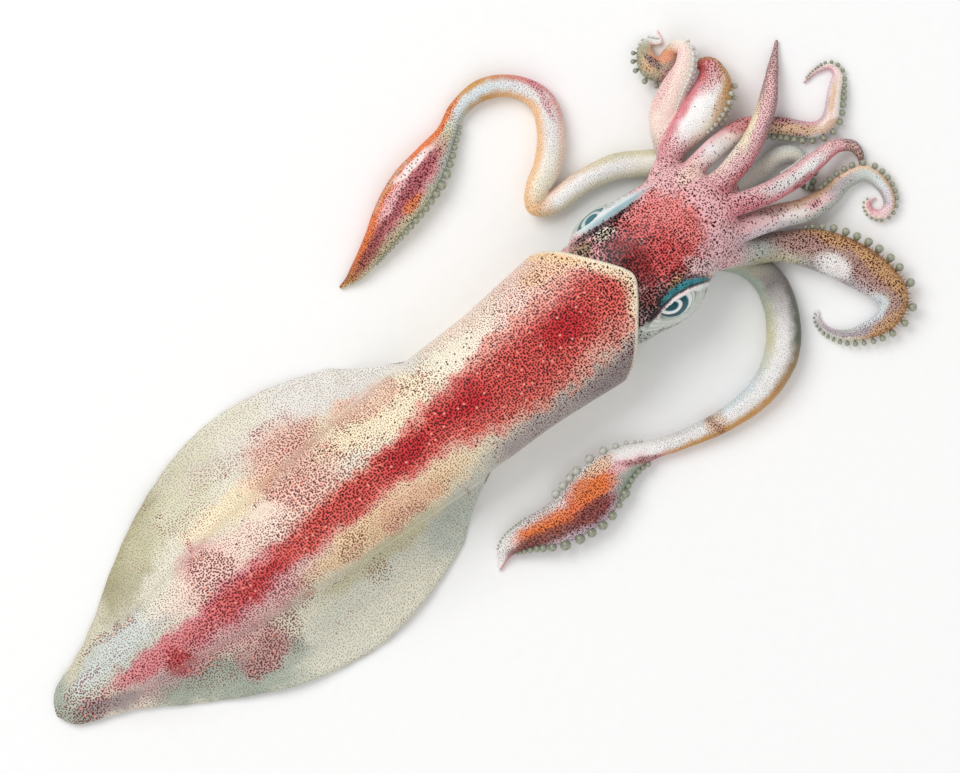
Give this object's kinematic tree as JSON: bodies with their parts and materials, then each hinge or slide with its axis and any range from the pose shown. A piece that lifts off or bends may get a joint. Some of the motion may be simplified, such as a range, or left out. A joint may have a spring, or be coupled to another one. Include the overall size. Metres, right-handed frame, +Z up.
{
  "type": "whole raw squid",
  "caption": "Whole raw squid lying belly down, with finned mantle, head, eyes, curled arms and two club-ended tentacles drawn back beside the body.",
  "frame": {"origin": "on the table under the middle of the bounding box", "axes": "+X along the body from the tail towards the arm tips, +Y towards the animal's left side, +Z up from the table through the back"},
  "size_m": [0.3068, 0.1396, 0.0332],
  "materials": {
    "mantle_skin": "moist skin, cream and lilac under crimson and black colour cells",
    "head_skin": "moist skin, coral red under maroon and black colour cells",
    "tentacle_skin": "moist cream skin with orange and pink edges",
    "eye": "wet clear cover over teal and silver"
  },
  "bodies": {
    "root": {"mantle": "mantle_skin", "head_with_arms": "head_skin", "tentacle_left": "tentacle_skin", "tentacle_right": "tentacle_skin", "eye_left": "eye", "eye_right": "eye"}
  },
  "joints": []
}
